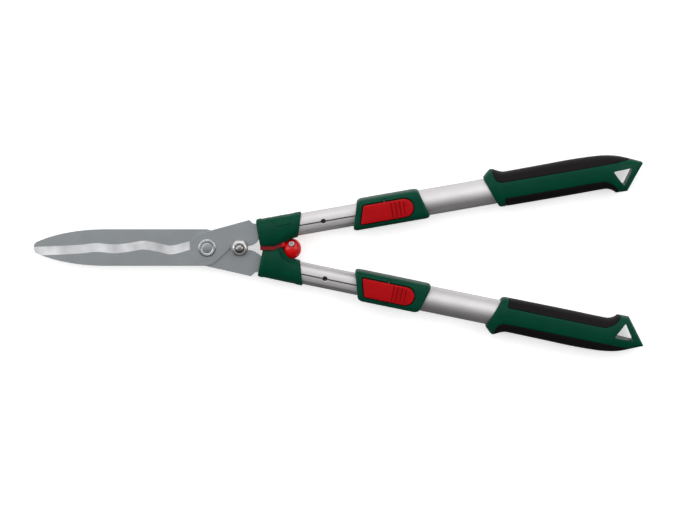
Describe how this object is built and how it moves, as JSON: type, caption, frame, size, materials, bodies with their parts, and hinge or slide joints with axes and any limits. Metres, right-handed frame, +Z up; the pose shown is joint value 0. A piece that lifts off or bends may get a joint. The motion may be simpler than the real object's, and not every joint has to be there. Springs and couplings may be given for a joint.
{
  "type": "hedge shears",
  "caption": "Telescopic two-handed hedge shears with wavy blades, aluminium tube handles, green grips with black inlays and red length-lock buttons.",
  "frame": {"origin": "middle of the plane that the closed shears lie on", "axes": "+X along the shears from the blade tips to the grips, +Y from the lower handle to the upper one, +Z up from the rear blade to the front blade"},
  "size_m": [0.6892, 0.2222, 0.0398],
  "materials": {
    "blade_steel": "satin ground steel plate, bright on the bevel",
    "zinc_steel": "zinc plated, satin",
    "bright_steel": "bright plated",
    "aluminium_tube": "drawn, satin anodised",
    "green_plastic": "dark green moulded plastic, fine grain, soft gloss",
    "black_grip": "black soft-touch moulding, matt",
    "black_plastic": "plain moulded",
    "red_plastic": "red moulded plastic, gloss",
    "red_rubber": "red rubber, smooth and glossy"
  },
  "bodies": {
    "lower_arm": {"rear_blade": "blade_steel", "pivot_bolt": "blade_steel", "pivot_washer": "zinc_steel", "pivot_nut": "zinc_steel", "stop_bolt": "bright_steel", "stop_sleeve": "zinc_steel", "stop_washer": "zinc_steel", "stop_nut": "bright_steel", "bumper": "red_rubber", "bumper_screw": "zinc_steel", "lower_ferrule": "green_plastic", "lower_tang_screw": "zinc_steel", "lower_tube_screw": "zinc_steel", "lower_inner_tube": "aluminium_tube", "lower_inner_stop": "black_plastic"},
    "upper_arm": {"front_blade": "blade_steel", "upper_ferrule": "green_plastic", "upper_tang_screw": "zinc_steel", "upper_tube_screw": "zinc_steel", "upper_inner_tube": "aluminium_tube", "upper_inner_stop": "black_plastic"},
    "lower_slide": {"lower_outer_tube": "aluminium_tube", "lower_collar": "green_plastic", "lower_collar_screw": "zinc_steel", "lower_latch_axle": "zinc_steel", "lower_latch_spring": "zinc_steel", "lower_grip_core": "green_plastic", "lower_grip_pad_outer": "black_grip", "lower_grip_pad_inner": "black_grip"},
    "lower_latch": {"lower_latch_lever": "red_plastic", "lower_lock_pin": "zinc_steel"},
    "upper_slide": {"upper_outer_tube": "aluminium_tube", "upper_collar": "green_plastic", "upper_collar_screw": "zinc_steel", "upper_latch_axle": "zinc_steel", "upper_latch_spring": "zinc_steel", "upper_grip_core": "green_plastic", "upper_grip_pad_outer": "black_grip", "upper_grip_pad_inner": "black_grip"},
    "upper_latch": {"upper_latch_lever": "red_plastic", "upper_lock_pin": "zinc_steel"}
  },
  "joints": [
    {"name": "blade_pivot", "type": "hinge", "parent": "lower_arm", "child": "upper_arm", "pos_m": [-0.1485, 0.00676, 0.018], "axis": [0, 0, 1], "range_deg": [0, 80]},
    {"name": "lower_extend", "type": "slide", "parent": "lower_arm", "child": "lower_slide", "axis": [0.9792, -0.2028, 0], "range_m": [-0.05, 0.15]},
    {"name": "lower_latch_press", "type": "hinge", "parent": "lower_slide", "child": "lower_latch", "pos_m": [0.05435, -0.04189, 0.0352], "axis": [0.2028, 0.9792, 0], "range_deg": [0, 5.5], "stiffness_Nm_per_rad": 1, "springref_deg": -1.72, "deforming": ["lower_latch_spring"]},
    {"name": "upper_extend", "type": "slide", "parent": "upper_arm", "child": "upper_slide", "axis": [0.985, 0.1726, 0], "range_m": [-0.05, 0.15]},
    {"name": "upper_latch_press", "type": "hinge", "parent": "upper_slide", "child": "upper_latch", "pos_m": [0.05303, 0.05019, 0.0352], "axis": [-0.1726, 0.985, 0], "range_deg": [0, 5.5], "stiffness_Nm_per_rad": 1, "springref_deg": -1.72, "deforming": ["upper_latch_spring"]}
  ]
}
